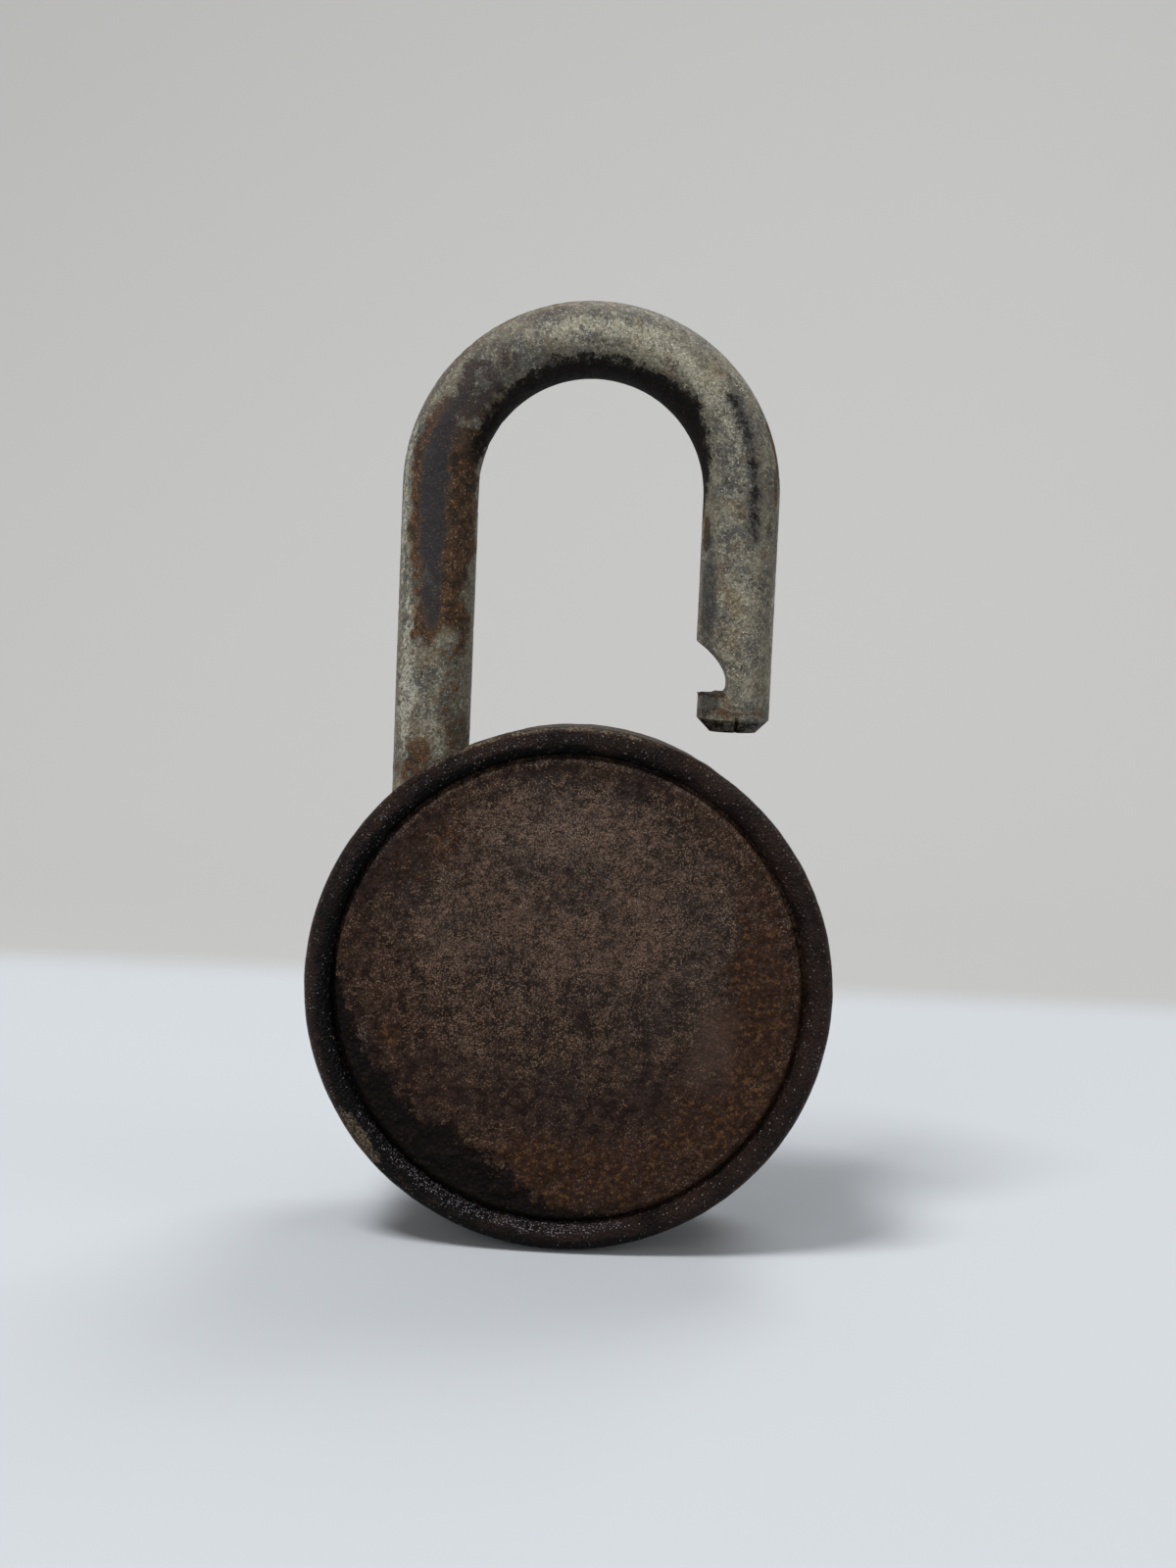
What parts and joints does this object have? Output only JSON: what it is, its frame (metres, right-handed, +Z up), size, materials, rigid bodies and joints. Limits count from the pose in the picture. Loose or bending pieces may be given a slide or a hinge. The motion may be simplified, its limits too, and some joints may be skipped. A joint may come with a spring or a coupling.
{
  "type": "combination padlock",
  "caption": "Rusty round steel padlock, shackle raised: rolled rim, swivelling bow with a notched toe, and a numbered dial that works gated wheels and a sprung latch.",
  "frame": {"origin": "the hanging point: the crown of the shackle bow's inner side, in the middle of the rod", "axes": "+Z runs up along the shackle's legs, the back plate faces -Y, the dial faces +Y, the heel leg is at -X and the toe at +X"},
  "size_m": [0.0476, 0.0318, 0.0862],
  "materials": {
    "case_steel": "heavily rusted sheet steel, dark brown with fine tan grains",
    "plate_steel": "heavily rusted sheet steel, granular, with orange and black patches",
    "shackle_steel": "dull grey plated rod with rust patches",
    "inner_steel": "tarnished steel with light rust",
    "wheel_brass": "tarnished brass",
    "spring_steel": "dark spring wire",
    "dial_aluminium": "worn black paint on die-cast metal, with white numbers"
  },
  "bodies": {
    "shackle": {"shackle": "shackle_steel"},
    "heel_collar": {"heel_collar": "inner_steel"},
    "case": {"outer_case": "case_steel", "inner_shield": "inner_steel", "back_plate": "plate_steel", "heel_guide": "inner_steel", "heel_guide_rivet_1": "inner_steel", "heel_guide_rivet_2": "inner_steel", "lever_post": "inner_steel", "lever_sleeve": "wheel_brass", "lever_clip": "spring_steel", "lever_stop": "inner_steel", "lever_spring": "spring_steel", "wheel_post": "wheel_brass", "wheel_spring": "spring_steel", "wheel_spacer_1": "inner_steel", "wheel_spacer_2": "inner_steel", "wheel_spacer_3": "inner_steel", "dial_washer": "inner_steel"},
    "dial": {"dial_plate": "dial_aluminium", "dial_knob": "dial_aluminium", "spindle": "inner_steel", "drive_cam": "wheel_brass"},
    "wheel_1": {"wheel_1": "wheel_brass"},
    "wheel_2": {"wheel_2": "wheel_brass"},
    "wheel_3": {"wheel_3": "wheel_brass"},
    "lever": {"fence_lever": "inner_steel", "pawl_pin": "inner_steel"},
    "pawl": {"latch_pawl": "inner_steel", "pawl_spring": "spring_steel"}
  },
  "joints": [
    {"name": "shackle_swivel", "type": "hinge", "parent": "shackle", "child": "heel_collar", "pos_m": [-0.01389, 0, 0], "axis": [0, 0, 1], "continuous": true},
    {"name": "shackle_slide", "type": "slide", "parent": "heel_collar", "child": "case", "axis": [0, 0, 1], "range_m": [0, 0.0123]},
    {"name": "dial_spin", "type": "hinge", "parent": "case", "child": "dial", "pos_m": [0, 0, -0.05525], "axis": [0, 1, 0], "continuous": true},
    {"name": "wheel_1_turn", "type": "hinge", "parent": "dial", "child": "wheel_1", "pos_m": [0, 0, -0.05525], "axis": [0, 1, 0], "range_deg": [-150, 180]},
    {"name": "wheel_2_turn", "type": "hinge", "parent": "wheel_1", "child": "wheel_2", "pos_m": [0, 0, -0.05525], "axis": [0, 1, 0], "range_deg": [-330, 0]},
    {"name": "wheel_3_turn", "type": "hinge", "parent": "wheel_2", "child": "wheel_3", "pos_m": [0, 0, -0.05525], "axis": [0, 1, 0], "range_deg": [-330, 0]},
    {"name": "lever_swing", "type": "hinge", "parent": "case", "child": "lever", "pos_m": [0.0045, 0, -0.06925], "axis": [0, -1, 0], "range_deg": [0, 6], "stiffness_Nm_per_rad": 0.02, "springref_deg": -28.65, "deforming": ["lever_spring"]},
    {"name": "pawl_swing", "type": "hinge", "parent": "lever", "child": "pawl", "pos_m": [0.0132, 0, -0.05225], "axis": [0, 1, 0], "range_deg": [0, 12.5], "stiffness_Nm_per_rad": 0.003, "springref_deg": 34.38, "deforming": ["pawl_spring"]}
  ]
}
